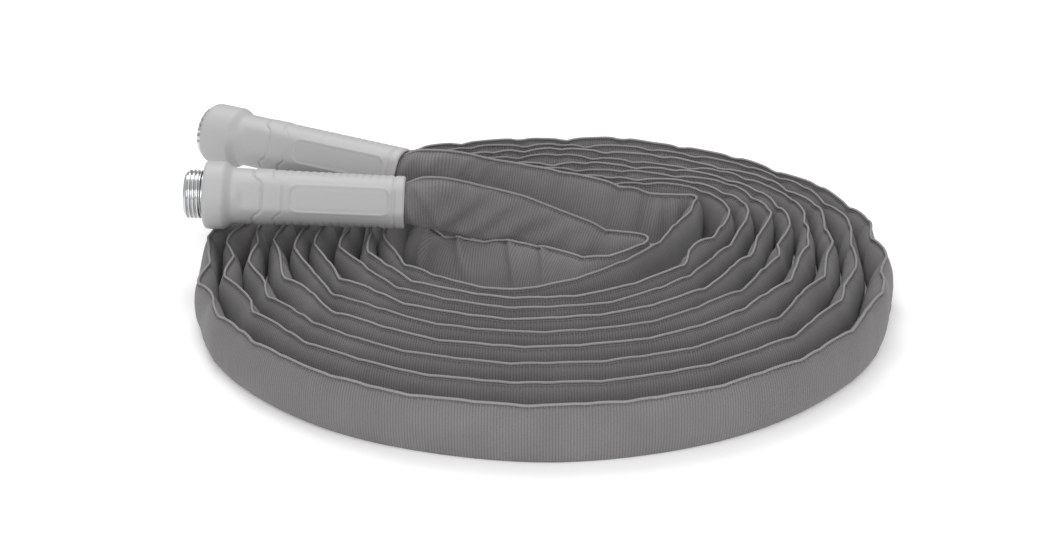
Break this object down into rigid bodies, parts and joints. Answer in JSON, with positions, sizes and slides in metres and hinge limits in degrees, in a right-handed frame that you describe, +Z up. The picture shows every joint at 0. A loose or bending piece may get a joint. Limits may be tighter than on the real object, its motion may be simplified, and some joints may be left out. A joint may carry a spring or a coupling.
{
  "type": "rolled lay-flat water hose",
  "caption": "Rolled lay-flat fabric hose standing on edge in a loose double roll, with a threaded male and a swivelling female coupling in soft grips over it.",
  "frame": {"origin": "plan centre of the whole object's bounding box, on the surface the roll stands on", "axes": "+X to the right, away from the couplings' open ends; +Y to the back; +Z up"},
  "size_m": [0.3896, 0.3804, 0.0718],
  "materials": {
    "woven_jacket": "woven polyester, matt",
    "liner": "smooth thermoplastic elastomer",
    "soft_grip": "soft-touch moulded elastomer",
    "aluminium": "bright turned",
    "washer_rubber": "moulded"
  },
  "bodies": {
    "hose": {"roll_jacket": "woven_jacket", "roll_liner": "liner", "female_end_jacket": "woven_jacket", "female_end_liner": "liner", "male_end_jacket": "woven_jacket", "male_end_liner": "liner", "male_spigot": "aluminium", "male_ferrule": "aluminium", "male_grip": "soft_grip", "female_stem": "aluminium", "female_ferrule": "aluminium"},
    "female_swivel": {"female_nut": "aluminium", "female_washer": "washer_rubber", "female_grip": "soft_grip"}
  },
  "joints": [
    {"name": "female_coupling_spin", "type": "hinge", "parent": "hose", "child": "female_swivel", "pos_m": [-0.18644, 0.1294, 0.054], "axis": [0.9109, -0.4091, -0.0535], "continuous": true}
  ]
}
